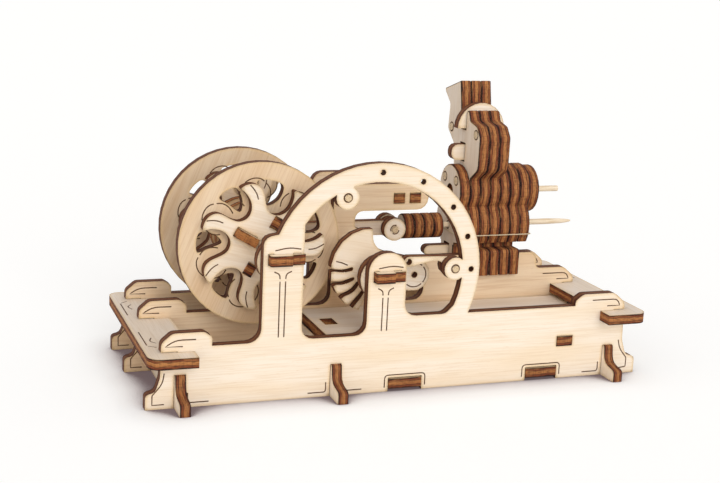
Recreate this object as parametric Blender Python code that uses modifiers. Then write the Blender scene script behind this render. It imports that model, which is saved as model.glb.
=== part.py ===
"""Plywood display model of a small piston engine, built from flat sheets.

Metres, +Z up. X runs along the model, -Y is its front and the origin is
at the middle of its footprint on the table. Sheets that stand along the
model are drawn in X and Z, sheets across it in Y and Z.
"""
import bmesh
import bpy
from math import acos, asin, atan2, cos, degrees, pi, radians, sin, sqrt, tan
from mathutils import Matrix, Vector

# Sheets and clearances, and how far a flat facet may lie inside its true arc
sheet = 0.0030
seat_gap = 0.0003
slot_gap = 0.00015
turn_gap = 0.0001
facet_sag = 0.000055

# Frames: length, the middle one's setback, and what stands clear of what behind it
length = 0.1522
middle_setback = 0.0324
wheel_clearance = 0.0055
web_clearance = 0.0004
rear_clearance = 0.0021
foot_lap = 0.0095

# Frame ends, read from the outer end inwards and from the table up
left_end_width = 0.0183
left_end_height = 0.0213
right_end_width = 0.0222
right_end_height = 0.0259
left_rail_height = 0.0172
right_rail_height = 0.0224
end_shares = [(0, 0, 0), (0, 0.20, 0.05), (0.15, 0.23, 0.08), (0.22, 0.42, 0.2), (0.235, 0.88, 0.08),
              (0.40, 1.0, 0.1), (0.88, 1.0, 0.08), (1, 0.93, 0.05), (1, 0.5, 0)]

# Notches, ties and caps
notch_height = 0.0041
tie_width = 0.0102
left_tie_x = -0.0004
right_tie_inset = 0.0323
deck_tie_inset = 0.0250
deck_tie_width = 0.0051
deck_top = 0.0165
deck_left = -0.0232
deck_window_x = -0.0183
deck_window_y = -0.0105
deck_window_length = 0.0039
deck_window_width = 0.0060
cap_width = 0.0135
cap_overhang = 0.00565
cap_corner = 0.0035
cap_lap_share = 0.64
left_cap_bottom = 0.0130
right_cap_bottom = 0.0175

# Cross plates
left_cross_inset = 0.0095
middle_cross_x = -0.0218
right_cross_inset = 0.0100
toe_reach = 0.0076
toe_height = 0.0034
toe_round = 0.0030

# Crank axis and tall posts
crank_x = -0.0383
crank_z = 0.0394
crank_shaft_radius = 0.0019
tall_post_left = 0.0057
tall_post_right = 0.0059
post_head_radius = 0.0060
post_fillet = 0.0040
shoulder_fillet = 0.0045

# Rocker axis and front middle post
rocker_x = -0.0077
rocker_z = 0.0331
rocker_shaft_radius = 0.0014
rocker_post_left = 0.0054
rocker_post_right = 0.0061
rocker_post_top = 0.0413
rocker_post_round = 0.0054

# Arch of the front frame
arch_post_share = 0.826
arch_z = 0.0353
arch_radius = 0.0317
arch_width = 0.0053
arch_left_angle = 157
lug_inset = 0.0023
lug_radius = 0.0034
upper_lug_angle = 113.7
lever_lug_angle = 1.0
pin_radius = 0.0010
arch_hole_radius = 0.00085
arch_hole_angles = [0.4, 20, 40, 64.4, 89.4]
window_floor = 0.0174
right_window_floor = 0.0224
window_fillet = 0.0035
arch_foot_fillet = 0.0025

# Arms of the middle and rear frames
arm_post_right = 0.0016
arm_bottom = 0.0464
arm_top = 0.0547
arm_right = 0.0178
arm_round = 0.0035
arm_window_right = 0.0178
saddle_inset = 0.0192
saddle_height = 0.0313
strip_x = [0.0081, 0.0134]
strip_width = 0.0034
strip_height = 0.0030
strip_z = 0.0501

# Bearing plates and keys
bearing_radius = 0.0066
prong_clearance = 0.0010
left_prong = 0.0013
right_prong = 0.0020
key_shoulder = 0.0012
key_rise = 0.0013
key_tall = 0.0025
key_short = 0.0012
key_step_share = 0.62

# Flywheels and spiders
wheel_radius = 0.0242
wheel_ring_share = 0.78
arm_count = 7
spider_gap = 0.0002
window_angles = [80, 122, 175.5, 228, 279, 330, 21]
window_spans = [28, 20, 21, 21, 20, 20, 22]
window_shares = [(0.99, -0.30), (0.92, -0.45), (0.78, -0.46), (0.67, -0.30), (0.61, 0.02), (0.69, 0.22),
                 (0.83, 0.36), (0.96, 0.50), (1.0, 0.40), (1.005, 0.05)]
bay_angle = 120.5
spider_shares = [(0.83, -0.59), (0.93, -0.52), (0.99, -0.40), (1.0, -0.27), (0.975, -0.17), (0.90, -0.215),
                 (0.80, -0.26), (0.68, -0.275), (0.565, -0.18), (0.515, 0.02), (0.555, 0.26), (0.665, 0.36)]

# Hub strips
hub_strip_angles = [60, 150, 240]
hub_strip_inner = [0.0057, 0.0028, 0.0057]
hub_strip_outer = 0.0094
hub_strip_width = 0.0027
hub_strip_proud = 0.0006
hub_key_proud = 0.0030

# Crank, rod and crosshead
crank_throw = 0.0065
web_radius = 0.0100
rod_length = 0.0404
rod_width = 0.0046
rod_eye_radius = 0.0032
crank_pin_radius = 0.0012
wrist_disc_radius = 0.0036
crosshead_radius = 0.0040
crosshead_count = 4
crosshead_pitch = 0.0033
crosshead_sheet = 0.0030
piston_rod_radius = 0.00095
piston_rod_tail = 0.0165
piston_radius = 0.0040
piston_length = 0.0035

# Cylinder block, across the model about the cylinder axis
block_clearance = 0.0030
block_pitch = 0.0035
block_sheet = 0.0032
block_sheets = 8
bored_sheets = 6
cylinder_gap = 0.0002
block_disc_rise = 0.0006
block_disc_radius = 0.0095
block_waist_angle = -33
waist_half = 0.0055
waist_top = 0.0344
waist_bottom = 0.0334
base_half = 0.0106
base_top = 0.0330
base_bottom = 0.0248
skirt_half = 0.0048
skirt_bottom = 0.0278
upper_z = 0.0508
upper_radius = 0.0082
last_radius = 0.0076
upper_bore_radius = 0.0021
upper_rod_drop = 0.0004
saddle_gap = 0.0003
base_sheets = [2, 3, 4, 5]
skirt_sheets = [0, 1]
neck_sheets = [1, 2, 3]
block_pin_offset = 0.00435
block_pin_z = 0.0544
block_pin_radius = 0.0012

# Neck of the block: half width and height above the upper disc's centre
neck_half = 0.0120
neck_height = 0.0342
neck_shares = [(0.52, 0.20, 0), (0.58, 0.40, 0.06), (1.04, 0.525, 0.04), (0.97, 0.76, 0.04),
               (1.32, 0.86, 0.02), (1.36, 0.89, 0.02), (0.36, 1.0, 0.01)]
neck_gap_right_shares = [(0.24, 0.80, 0.01), (0.14, 0.70, 0)]
neck_gap_left_shares = [(-0.15, 0.745, 0.01), (-0.28, 0.745, 0.015), (-0.40, 0.66, 0.02), (-0.82, 0.63, 0.05),
                        (-1.04, 0.54, 0.05), (-1.03, 0.24, 0.08), (-0.62, 0.14, 0)]
neck_slot_share = 0.57
neck_pin_offset = 0.0093
neck_pin_share = 0.55
half_disc_radius = 0.0080
lobe_share = 0.284
lobe_height = 0.0050
lobe_reach = 0.0045
lobe_round = 0.0020
band_radius = 0.0003
band_z = 0.0377

# Slide, upper valve rod and lever
slide_reach = 0.0085
slide_bottom = 0.0299
slide_height = 0.0032
upper_rod_inset = 0.0013
upper_rod_tail = 0.0105
spool_inset = 0.0043
spool_length = 0.0120
spool_radius = 0.0019
lever_eye_radius = 0.0022
lever_eye_x = 0.0013
lever_eye_z = 0.0368
lever_eye_hole = 0.0009
lever_hub_radius = 0.0030
lever_drop = 0.0004

# Rocker plate
rocker_setback = 0.0120
fan_radius = 0.0125
fan_start = 88
fan_end = 252
fan_waist = 0.0062
fan_waist_shares = [(-0.1, -1), (0.25, 1)]
rocker_boss_reach = 0.0139
rocker_boss_angle = -8.3
rocker_boss_radius = 0.0049
rocker_boss_hole = 0.0009
fan_slot_angles = [175, 196, 217, 239]
fan_slot_shares = [(0.44, 0), (0.48, 0.35), (0.72, 0.62), (1.0, 1.0)]
fan_slot_inner_width = 0.0005
fan_slot_outer_width = 0.0018

# Colours, as red, green and blue
birch = (0.86, 0.72, 0.52)
birch_pale = (0.92, 0.82, 0.65)
birch_tan = (0.74, 0.58, 0.40)
dowel = (0.88, 0.74, 0.50)
thread = (0.90, 0.82, 0.68)

# Setbacks behind the front face, each from what stands before or behind it
front_wheel_setback = middle_setback - wheel_clearance - sheet
front_web_setback = middle_setback + sheet + web_clearance
rod_setback = front_web_setback + sheet + seat_gap
rear_web_setback = rod_setback + sheet + seat_gap
rear_wheel_setback = rear_web_setback + sheet + seat_gap + sheet + spider_gap
rear_setback = rear_wheel_setback + sheet + rear_clearance
frame_depth = rear_setback + sheet
cap_length = frame_depth + 2 * cap_overhang
cross_depth = frame_depth + 2 * toe_reach

# Middles of the sheets, and places along the model
front_y = -frame_depth / 2 + sheet / 2
middle_y = front_y + middle_setback
rear_y = front_y + rear_setback
front_web_y = front_y + front_web_setback
rod_y = front_y + rod_setback
rear_web_y = front_y + rear_web_setback
cylinder_y = rod_y
wrist_x = crank_x + crank_throw + rod_length
crosshead_left = wrist_x + wrist_disc_radius + seat_gap
block_left = crosshead_left + crosshead_count * crosshead_pitch + block_clearance
block_right = block_left + (block_sheets - 1) * block_pitch + block_sheet
bored_right = block_left + (bored_sheets - 1) * block_pitch + block_sheet
left_cross_x = left_cross_inset - length / 2
right_cross_x = length / 2 - right_cross_inset
right_tie_x = length / 2 - right_tie_inset
deck_tie_x = length / 2 - deck_tie_inset
saddle_right = length / 2 - saddle_inset
arch_x = crank_x + tall_post_right + (arch_radius - arch_width) * arch_post_share
neck_slot_z = upper_z + neck_height * neck_slot_share
neck_pin_z = upper_z + neck_height * neck_pin_share
lobe_bottom = upper_z + neck_height * lobe_share


def clear_scene():
    for obj in list(bpy.data.objects):
        bpy.data.objects.remove(obj, do_unlink=True)


def new_collection(name):
    collection = bpy.data.collections.new(name)
    bpy.context.scene.collection.children.link(collection)
    return collection


def make_wood(name, colour):
    """Uncoated sheet wood of the given colour."""
    material = bpy.data.materials.new(name)
    material.use_nodes = True
    shader = material.node_tree.nodes["Principled BSDF"]
    shader.inputs["Base Color"].default_value = (*colour, 1)
    shader.inputs["Roughness"].default_value = 0.7
    shader.inputs["Metallic"].default_value = 0
    material.diffuse_color = (*colour, 1)
    return material


def facet_angle(radius):
    """Degrees between two points of a round outline, from how far a flat may lie inside it."""
    return degrees(sqrt(8 * facet_sag / radius))


def arc(centre, radius, start, end):
    """Points from start to end degrees on a circle."""
    count = max(2, round(abs(end - start) / facet_angle(radius)))
    angles = [radians(start + (end - start) * i / count) for i in range(count + 1)]
    return [(centre[0] + radius * cos(a), centre[1] + radius * sin(a)) for a in angles]


def circle(centre, radius):
    return arc(centre, radius, 0, 360)[:-1]


def box(left, bottom, right, top):
    return [(left, bottom), (right, bottom), (right, top), (left, top)]


def rounded(corners):
    """Outline through corners (a, b) or (a, b, radius), the radius turned into an arc."""
    outline = []
    for i, corner in enumerate(corners):
        if len(corner) == 2 or corner[2] == 0:
            outline.append(tuple(corner[:2]))
            continue
        here = Vector(corner[:2])
        back = Vector(corners[i - 1][:2]) - here
        ahead = Vector(corners[(i + 1) % len(corners)][:2]) - here
        half = back.angle(ahead) / 2
        reach = min(corner[2] / tan(half), back.length * 0.49, ahead.length * 0.49)
        radius = reach * tan(half)
        middle = here + (back.normalized() + ahead.normalized()).normalized() * (radius / sin(half))
        first = here + back.normalized() * reach - middle
        last = here + ahead.normalized() * reach - middle
        turn = first.angle_signed(last)
        start = degrees(atan2(first.y, first.x))
        outline += arc(middle, radius, start, start - degrees(turn))
    return outline


def smooth(points, steps=3):
    """Closed outline that runs smoothly through every point."""
    outline = []
    count = len(points)
    for i in range(count):
        p0, p1, p2, p3 = (Vector(points[(i + k) % count]) for k in (-1, 0, 1, 2))
        for k in range(steps):
            t = k / steps
            point = p1 + (p2 - p0) * t / 2 + (p0 * 2 - p1 * 5 + p2 * 4 - p3) * t * t / 2
            point += (p1 * 3 - p0 - p2 * 3 + p3) * t * t * t / 2
            outline.append(tuple(point))
    return outline


def crossing_angle(big, small, distance):
    """Degrees at the big circle's centre between the line of centres and a crossing."""
    return degrees(acos((big * big + distance * distance - small * small) / (2 * big * distance)))


def finish(obj, place, parent, material):
    """Put a piece in its collection and place, under its axis if it moves."""
    for collection in obj.users_collection:
        collection.objects.unlink(obj)
    pieces.objects.link(obj)
    obj.location = place
    if parent:
        obj.parent = parent
        obj.location = Vector(place) - parent.location
    obj.data.materials.clear()
    obj.data.materials.append(material.copy())
    obj.data.materials[0].name = obj.name
    return obj


def plate(name, facing, outline, place, thickness=sheet, holes=(), parent=None, material=None):
    """Flat sheet drawn as an outline with holes, facing along Y, X or Z."""
    curve = bpy.data.curves.new(name, "CURVE")
    curve.dimensions = "2D"
    curve.fill_mode = "BOTH"
    curve.extrude = thickness / 2
    for points in [outline, *holes]:
        spline = curve.splines.new("POLY")
        spline.points.add(len(points) - 1)
        for point, (a, b) in zip(spline.points, points):
            point.co = (a, b, 0, 1)
        spline.use_cyclic_u = True
    drawn = bpy.data.objects.new(name + "_outline", curve)
    pieces.objects.link(drawn)
    evaluated = drawn.evaluated_get(bpy.context.evaluated_depsgraph_get())
    mesh = bpy.data.meshes.new_from_object(evaluated)
    bpy.data.objects.remove(drawn, do_unlink=True)
    bm = bmesh.new()
    bm.from_mesh(mesh)
    bmesh.ops.remove_doubles(bm, verts=bm.verts, dist=weld)
    bm.to_mesh(mesh)
    bm.free()
    obj = bpy.data.objects.new(name, mesh)
    pieces.objects.link(obj)
    turns = {"Y": (pi / 2, 0, 0), "X": (pi / 2, 0, pi / 2), "Z": (0, 0, 0)}
    obj.rotation_euler = turns[facing]
    return finish(obj, place, parent, material or birch_wood)


def rod(name, along, radius, start, end, centre, parent=None, material=None):
    """Round pin or shaft along X or Y, between two places on that axis."""
    segments = round(360 / facet_angle(radius))
    bpy.ops.mesh.primitive_cylinder_add(vertices=segments, radius=radius, depth=end - start)
    obj = bpy.context.object
    obj.name = name
    obj.data.name = name
    obj.rotation_euler = (pi / 2, 0, 0) if along == "Y" else (0, pi / 2, 0)
    middle = (start + end) / 2
    place = (centre[0], middle, centre[1]) if along == "Y" else (middle, centre[0], centre[1])
    obj.data.shade_smooth()
    obj.data.set_sharp_from_angle(angle=radians(40))
    return finish(obj, place, parent, material or dowel_wood)


def turned(name, profile, centre, material=None):
    """Piece turned about an X axis from a profile of places and radii."""
    bm = bmesh.new()
    verts = [bm.verts.new((x, radius, 0)) for x, radius in profile]
    for first, second in zip(verts, verts[1:]):
        bm.edges.new((first, second))
    mesh = bpy.data.meshes.new(name)
    bm.to_mesh(mesh)
    bm.free()
    obj = bpy.data.objects.new(name, mesh)
    pieces.objects.link(obj)
    screw = obj.modifiers.new("turn", "SCREW")
    screw.axis = "X"
    screw.steps = screw.render_steps = round(360 / facet_angle(max(radius for x, radius in profile)))
    screw.use_merge_vertices = True
    screw.merge_threshold = weld
    screw.use_normal_flip = True
    return finish(obj, (0, *centre), None, material or dowel_wood)


def slab(name, low, high, parent=None, material=None):
    """Plain strip between two opposite corners."""
    bpy.ops.mesh.primitive_cube_add(size=1)
    obj = bpy.context.object
    obj.name = name
    obj.data.name = name
    obj.data.transform(Matrix.Diagonal((*(h - l for l, h in zip(low, high)), 1)))
    place = [(l + h) / 2 for l, h in zip(low, high)]
    return finish(obj, place, parent, material or birch_wood)


def fuse(obj, tool):
    """Join a tool object to a piece and put the tool out of sight."""
    union = obj.modifiers.new("join " + tool.name, "BOOLEAN")
    union.operation = "UNION"
    union.solver = "EXACT"
    union.object = tool
    pieces.objects.unlink(tool)
    cutters.objects.link(tool)
    tool.hide_render = True
    tool.display_type = "WIRE"


def axis_empty(name, place):
    empty = bpy.data.objects.new(name, None)
    empty.location = place
    pieces.objects.link(empty)
    return empty


def end_points(side, width, height, cap_bottom, rail):
    """Corners of one frame end from the table up to the rail, with the cap's slot."""
    outer = side * length / 2
    corners = [(outer - side * a * width, b * height, r * height) for a, b, r in end_shares]
    corners[-1] = (corners[-1][0], rail, 0)
    lap = outer - side * (cap_width * cap_lap_share + slot_gap)
    low = cap_bottom - slot_gap
    high = cap_bottom + sheet + slot_gap
    edge = [i for i, corner in enumerate(corners) if corner[1] < low][-1] + 1
    share = (low - corners[edge - 1][1]) / (corners[edge][1] - corners[edge - 1][1])
    mouth = corners[edge - 1][0] + (corners[edge][0] - corners[edge - 1][0]) * share
    above = [corner for corner in corners[edge:] if corner[1] > high]
    return corners[:edge] + [(mouth, low), (lap, low), (lap, high), (mouth, high)] + above


def bottom_points():
    """Table edge of a frame from left to right, with lap slots and tie notches."""
    half = sheet / 2 + slot_gap
    cuts = [(x, half, foot_lap) for x in (left_cross_x, middle_cross_x, right_cross_x)]
    cuts += [(x, tie_width / 2 + slot_gap, notch_height) for x in (left_tie_x, right_tie_x)]
    points = []
    for x, reach, height in sorted(cuts):
        points += [(x - reach, 0), (x - reach, height), (x + reach, height), (x + reach, 0)]
    return points


def tie_hole():
    half = deck_tie_width / 2 + slot_gap
    top = deck_top - sheet - seat_gap
    return box(deck_tie_x - half, top - sheet - slot_gap, deck_tie_x + half, top + slot_gap)


def right_end():
    return end_points(1, right_end_width, right_end_height, right_cap_bottom, right_rail_height)


def left_end():
    corners = end_points(-1, left_end_width, left_end_height, left_cap_bottom, left_rail_height)
    return corners[::-1]


def key_prongs(shaft_radius):
    """Left and right prong of a key, as distances from the shaft's axis."""
    inner = shaft_radius + prong_clearance
    return (-inner - left_prong, -inner), (inner, inner + right_prong)


def key_holes(x, z, shaft_radius):
    low = z + key_rise - sheet / 2 - slot_gap
    high = z + key_rise + sheet / 2 + slot_gap
    return [box(x + a - slot_gap, low, x + b + slot_gap, high) for a, b in key_prongs(shaft_radius)]


def lug_place(angle):
    """Centre of a round lug on the inside of the arch."""
    reach = arch_radius - arch_width - lug_inset
    return arch_x + reach * cos(radians(angle)), arch_z + reach * sin(radians(angle))


def arch_opening():
    """Open space under the arch, round the rocker post and the two lugs."""
    inner = arch_radius - arch_width
    reach = inner - lug_inset
    spread = crossing_angle(inner, lug_radius, reach)
    lug_turn = 180 - crossing_angle(lug_radius, inner, reach)
    post_edge = crank_x + tall_post_right
    left = rocker_x - rocker_post_left
    right = rocker_x + rocker_post_right
    floor_angle = -degrees(asin((arch_z - right_window_floor - arch_foot_fillet) / inner))
    far = arch_x + inner * cos(radians(floor_angle))
    corners = [(post_edge, window_floor, window_fillet), (left, window_floor, window_fillet),
               (left, rocker_post_top, rocker_post_round), (right, rocker_post_top, rocker_post_round),
               (right, right_window_floor, window_fillet),
               (far - arch_foot_fillet, right_window_floor, arch_foot_fillet)]
    centre = (arch_x, arch_z)
    ring = []
    angle = floor_angle
    for lug in (lever_lug_angle, upper_lug_angle):
        ring += arc(centre, inner, angle, lug - spread)
        ring += arc(lug_place(lug), lug_radius, lug - lug_turn, lug - 360 + lug_turn)
        angle = lug + spread
    ring += arc(centre, inner, angle, degrees(acos((post_edge - arch_x) / inner)))
    return rounded(corners + ring)


def front_frame():
    """Front upright: two posts under a round arch."""
    rail_angle = -degrees(asin((arch_z - right_rail_height) / arch_radius))
    arch = arc((arch_x, arch_z), arch_radius, rail_angle, arch_left_angle)
    left = crank_x - tall_post_left
    shoulder = [(left, arch[-1][1] - sheet / 4, shoulder_fillet), (left, left_rail_height, post_fillet)]
    outline = rounded(bottom_points() + right_end() + arch + shoulder + left_end())
    holes = [arch_opening(), tie_hole()]
    holes += key_holes(crank_x, crank_z, crank_shaft_radius)
    holes += key_holes(rocker_x, rocker_z, rocker_shaft_radius)
    holes += [circle(lug_place(a), pin_radius + turn_gap) for a in (upper_lug_angle, lever_lug_angle)]
    middle = arch_radius - arch_width / 2
    for turn in [radians(angle) for angle in arch_hole_angles]:
        holes.append(circle((arch_x + middle * cos(turn), arch_z + middle * sin(turn)), arch_hole_radius))
    plate("front_frame", "Y", outline, (0, front_y, 0), holes=holes, material=pale_wood)


def inner_frame(name, y, saddle):
    """Middle or rear upright: a crank post, a rocker post with its arm, and a rail or saddle."""
    post_left = crank_x - tall_post_left
    post_right = crank_x + tall_post_right
    rocker_left = rocker_x - rocker_post_left
    rocker_right = rocker_x + rocker_post_right
    corners = [(arm_window_right, window_floor, window_fillet), (rocker_right, window_floor, window_fillet),
               (rocker_right, rocker_post_top - sheet / 2, sheet / 2),
               (rocker_x + arm_post_right, rocker_post_top, sheet / 3),
               (rocker_x + arm_post_right, arm_bottom, sheet),
               (arm_right, arm_bottom, arm_round), (arm_right, arm_top, arm_round),
               (rocker_left, arm_top, arm_round), (rocker_left, window_floor, window_fillet),
               (post_right, window_floor, window_fillet)]
    head = arc((crank_x, crank_z), post_head_radius, 10, 170)
    right = right_end() + [(arm_window_right, right_rail_height, sheet)]
    if saddle:
        right = right_end()[:-3]
        right += [(saddle_right, right_end_height, sheet / 2), (saddle_right, saddle_height, sheet),
                  (arm_window_right, saddle_height, sheet)]
    outline = rounded(bottom_points() + right + corners + head
                      + [(post_left, left_rail_height, post_fillet)] + left_end())
    holes = [tie_hole(), circle((crank_x, crank_z), crank_shaft_radius + turn_gap)]
    if saddle:
        holes.append(circle((rocker_x, rocker_z), rocker_shaft_radius + turn_gap))
    half = strip_width / 2 + slot_gap
    rise = strip_height / 2 + slot_gap
    holes += [box(x - half, strip_z - rise, x + half, strip_z + rise) for x in strip_x]
    plate(name, "Y", outline, (0, y, 0), holes=holes)


def cap(name, side, bottom):
    """End cap across the three frames, slotted from its inner edge."""
    outer = side * length / 2
    inner = outer - side * cap_width
    lap = outer - side * (cap_width * cap_lap_share - slot_gap)
    half = sheet / 2 + slot_gap
    corners = [(outer, -cap_length / 2, cap_corner), (outer, cap_length / 2, cap_corner),
               (inner, cap_length / 2)]
    for y in (rear_y, middle_y, front_y):
        corners += [(inner, y + half), (lap, y + half), (lap, y - half), (inner, y - half)]
    corners.append((inner, -cap_length / 2))
    plate(name, "Z", rounded(corners), (0, 0, bottom + sheet / 2))


def cross_plate(name, x, top):
    """Plate across the model, slotted from above for the frames, with a curved toe at each end."""
    half = sheet / 2 + slot_gap
    reach = cross_depth / 2
    edge = frame_depth / 2 + slot_gap
    toe = [(reach, 0, 0), (reach, toe_height, sheet / 3),
           (edge + sheet / 2, toe_height + sheet / 3, toe_round),
           (edge + sheet / 4, foot_lap, sheet / 4), (edge, foot_lap, 0)]
    corners = list(toe)
    for y, step in ((rear_y, 1), (middle_y, 0), (front_y, 1)):
        if y == rear_y:
            corners += [(y - half, foot_lap), (y - half, top)]
        elif y == front_y:
            corners += [(y + half, top), (y + half, foot_lap)]
        else:
            corners += [(y + half, top), (y + half, foot_lap), (y - half, foot_lap), (y - half, top)]
    corners += [(-a, b, r) for a, b, r in toe[::-1]]
    plate(name, "X", rounded(corners), (x, 0, 0), material=tan_wood)


def ties():
    """Strips that run through or under the frames, and the deck."""
    end = frame_depth / 2 + seat_gap
    for name, x in (("left_floor_tie", left_tie_x), ("right_floor_tie", right_tie_x)):
        slab(name, (x - tie_width / 2, -end, notch_height - seat_gap - sheet),
             (x + tie_width / 2, end, notch_height - seat_gap))
    top = deck_top - sheet - seat_gap
    half = deck_tie_width / 2
    slab("deck_tie", (deck_tie_x - half, -end, top - sheet), (deck_tie_x + half, end, top))
    right = right_cross_x - sheet / 2 - seat_gap
    outline = box(deck_left, front_y + sheet / 2 + seat_gap, right, middle_y - sheet / 2 - seat_gap)
    window = box(deck_window_x - deck_window_length / 2, deck_window_y - deck_window_width / 2,
                 deck_window_x + deck_window_length / 2, deck_window_y + deck_window_width / 2)
    plate("front_deck", "Z", outline, (0, 0, deck_top - sheet / 2), holes=[window], material=tan_wood)


def bearing(prefix, x, z, shaft_radius):
    """Round bearing plate behind the front frame and the two-pronged key that pins it there."""
    y = front_y + sheet + seat_gap
    hole = circle((0, 0), shaft_radius + turn_gap)
    prong_holes = key_holes(0, 0, shaft_radius)
    plate(prefix + "_bearing_plate", "Y", circle((0, 0), bearing_radius), (x, y, z),
          holes=[hole, *prong_holes])
    (a, b), (c, d) = key_prongs(shaft_radius)
    face = -frame_depth / 2
    back = y + sheet / 2 - seat_gap
    step = a + (d + key_shoulder - a) * key_step_share
    corners = [(a, face - key_tall, sheet / 6), (step, face - key_tall, sheet / 6), (step, face - key_short),
               (d + key_shoulder, face - key_short, sheet / 6), (d + key_shoulder, face - slot_gap)]
    corners += [(d, face - slot_gap), (d, back), (c, back), (c, face - slot_gap)]
    corners += [(b, face - slot_gap), (b, back), (a, back)]
    plate(prefix + "_bearing_key", "Z", rounded(corners), (x, 0, z + key_rise), material=pale_wood)


def pins_and_strips():
    """Two short pins in the lugs of the arch and the strips that join the rear arms."""
    start = -frame_depth / 2 - seat_gap
    end = front_y + sheet * 1.5 + seat_gap * 2
    for name, angle in (("upper_arch_pin", upper_lug_angle), ("lever_pivot_pin", lever_lug_angle)):
        rod(name, "Y", pin_radius, start, end, lug_place(angle))
    low = middle_y - sheet / 2 - seat_gap
    high = rear_y + sheet / 2 + seat_gap
    for name, x in zip(("left_arm_strip", "right_arm_strip"), strip_x):
        slab(name, (x - strip_width / 2, low, strip_z - strip_height / 2),
             (x + strip_width / 2, high, strip_z + strip_height / 2), material=tan_wood)


def polar_outline(shares, angle, span):
    """Points from shares of the ring's radius and of an angle about a middle one."""
    reach = wheel_radius * wheel_ring_share
    turns = [radians(angle + a * span) for r, a in shares]
    return [(r * reach * cos(turn), r * reach * sin(turn)) for (r, a), turn in zip(shares, turns)]


def strip_slots(clearance):
    """Outlines of the three hub strips about the shaft."""
    slots = []
    for angle, inner in zip(hub_strip_angles, hub_strip_inner):
        along = Vector((cos(radians(angle)), sin(radians(angle))))
        across = Vector((-along.y, along.x)) * (hub_strip_width / 2 + clearance)
        low = along * (inner - clearance)
        high = along * (hub_strip_outer + clearance)
        slots.append([tuple(low - across), tuple(high - across), tuple(high + across), tuple(low + across)])
    return slots


def flywheel(prefix, setback, crank, with_strips):
    """Rim with seven rounded windows, and the hooked spider laid against its front."""
    y = front_y + setback
    shaft_hole = circle((0, 0), crank_shaft_radius + slot_gap)
    slots = strip_slots(slot_gap) if with_strips else []
    windows = []
    for angle, span in zip(window_angles, window_spans):
        windows.append(smooth(polar_outline(window_shares, angle, span)))
    arms = []
    for i in range(arm_count):
        arms += polar_outline(spider_shares, bay_angle + 360 * i / arm_count, 360 / arm_count)
    plate(prefix + "_flywheel", "Y", circle((0, 0), wheel_radius), (crank_x, y, crank_z),
          holes=[shaft_hole, *slots, *windows], parent=crank)
    spider_y = y - sheet - spider_gap
    own_slots = slots[1:2]
    spider = plate(prefix + "_spider", "Y", smooth(arms), (crank_x, spider_y, crank_z),
                   holes=[shaft_hole, *own_slots], parent=crank, material=pale_wood)
    if with_strips:
        far = y + sheet / 2 + seat_gap
        names = ("first_strip", "hub_key", "last_strip")
        for name, outline in zip(names, strip_slots(0)):
            near = spider_y - sheet / 2 - (hub_key_proud if name == "hub_key" else hub_strip_proud)
            strip = plate(name, "Y", outline, (crank_x, (near + far) / 2, crank_z), thickness=far - near,
                          parent=crank, material=tan_wood)
            if name != "hub_key":
                fuse(spider, strip)


def crankshaft():
    """Two shaft lengths, wheels and webs that turn together."""
    crank = axis_empty("crankshaft_axis", (crank_x, 0, crank_z))
    start = front_y + sheet / 2 + seat_gap
    rod("front_crank_shaft", "Y", crank_shaft_radius, start, front_web_y - sheet / 2 - seat_gap,
        (crank_x, crank_z), parent=crank)
    rod("rear_crank_shaft", "Y", crank_shaft_radius, rear_web_y + sheet / 2 + seat_gap, rear_y + sheet / 2,
        (crank_x, crank_z), parent=crank)
    flywheel("front", front_wheel_setback, crank, True)
    flywheel("rear", rear_wheel_setback, crank, False)
    for name, y in (("front_crank_web", front_web_y), ("rear_crank_web", rear_web_y)):
        plate(name, "Y", circle((0, 0), web_radius), (crank_x, y, crank_z), parent=crank, material=tan_wood)


def connecting_rod():
    """Long flat rod between crank pin and wrist pin, with the crank pin in its eye."""
    wrist = axis_empty("connecting_rod_axis", (wrist_x, rod_y, crank_z))
    half = degrees(acos(rod_width / 2 / rod_eye_radius))
    far = (-rod_length, 0)
    outline = arc((0, 0), rod_eye_radius, -90 - half, 90 + half)
    outline += arc(far, rod_eye_radius, 90 - half, 270 + half)
    holes = [circle((0, 0), piston_rod_radius + turn_gap), circle(far, crank_pin_radius + turn_gap)]
    plate("connecting_rod", "Y", outline, (wrist_x, rod_y, crank_z), holes=holes, parent=wrist)
    rod("crank_pin", "Y", crank_pin_radius, rod_y - sheet / 2, rod_y + sheet / 2,
        (crank_x + crank_throw, crank_z), parent=wrist)


def crosshead():
    """Wrist discs, stacked crosshead discs, piston rod and piston on one line."""
    axis = axis_empty("piston_axis", (wrist_x, cylinder_y, crank_z))
    front_disc = rod_y - sheet - seat_gap + slot_gap
    rear_disc = rod_y + sheet + seat_gap - slot_gap
    for name, y in (("front_wrist_disc", front_disc), ("rear_wrist_disc", rear_disc)):
        plate(name, "Y", circle((0, 0), wrist_disc_radius), (wrist_x, y, crank_z),
              holes=[circle((0, 0), piston_rod_radius + turn_gap)], parent=axis, material=pale_wood)
    reach = sheet / 2 + seat_gap
    rod("wrist_pin", "Y", piston_rod_radius, front_disc - reach, rear_disc + reach,
        (wrist_x, crank_z), parent=axis)
    names = ("first", "second", "third", "fourth")
    for i in range(crosshead_count):
        x = crosshead_left + crosshead_sheet / 2 + i * crosshead_pitch
        plate(names[i] + "_crosshead_disc", "X", circle((0, 0), crosshead_radius), (x, cylinder_y, crank_z),
              thickness=crosshead_sheet, holes=[circle((0, 0), piston_rod_radius + turn_gap)], parent=axis)
    rod("piston_rod", "X", piston_rod_radius, crosshead_left, block_right + piston_rod_tail,
        (cylinder_y, crank_z), parent=axis)
    right = bored_right - seat_gap
    plate("piston", "X", circle((0, 0), piston_radius), (right - piston_length / 2, cylinder_y, crank_z),
          thickness=piston_length, holes=[circle((0, 0), piston_rod_radius + turn_gap)], parent=axis)


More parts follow.
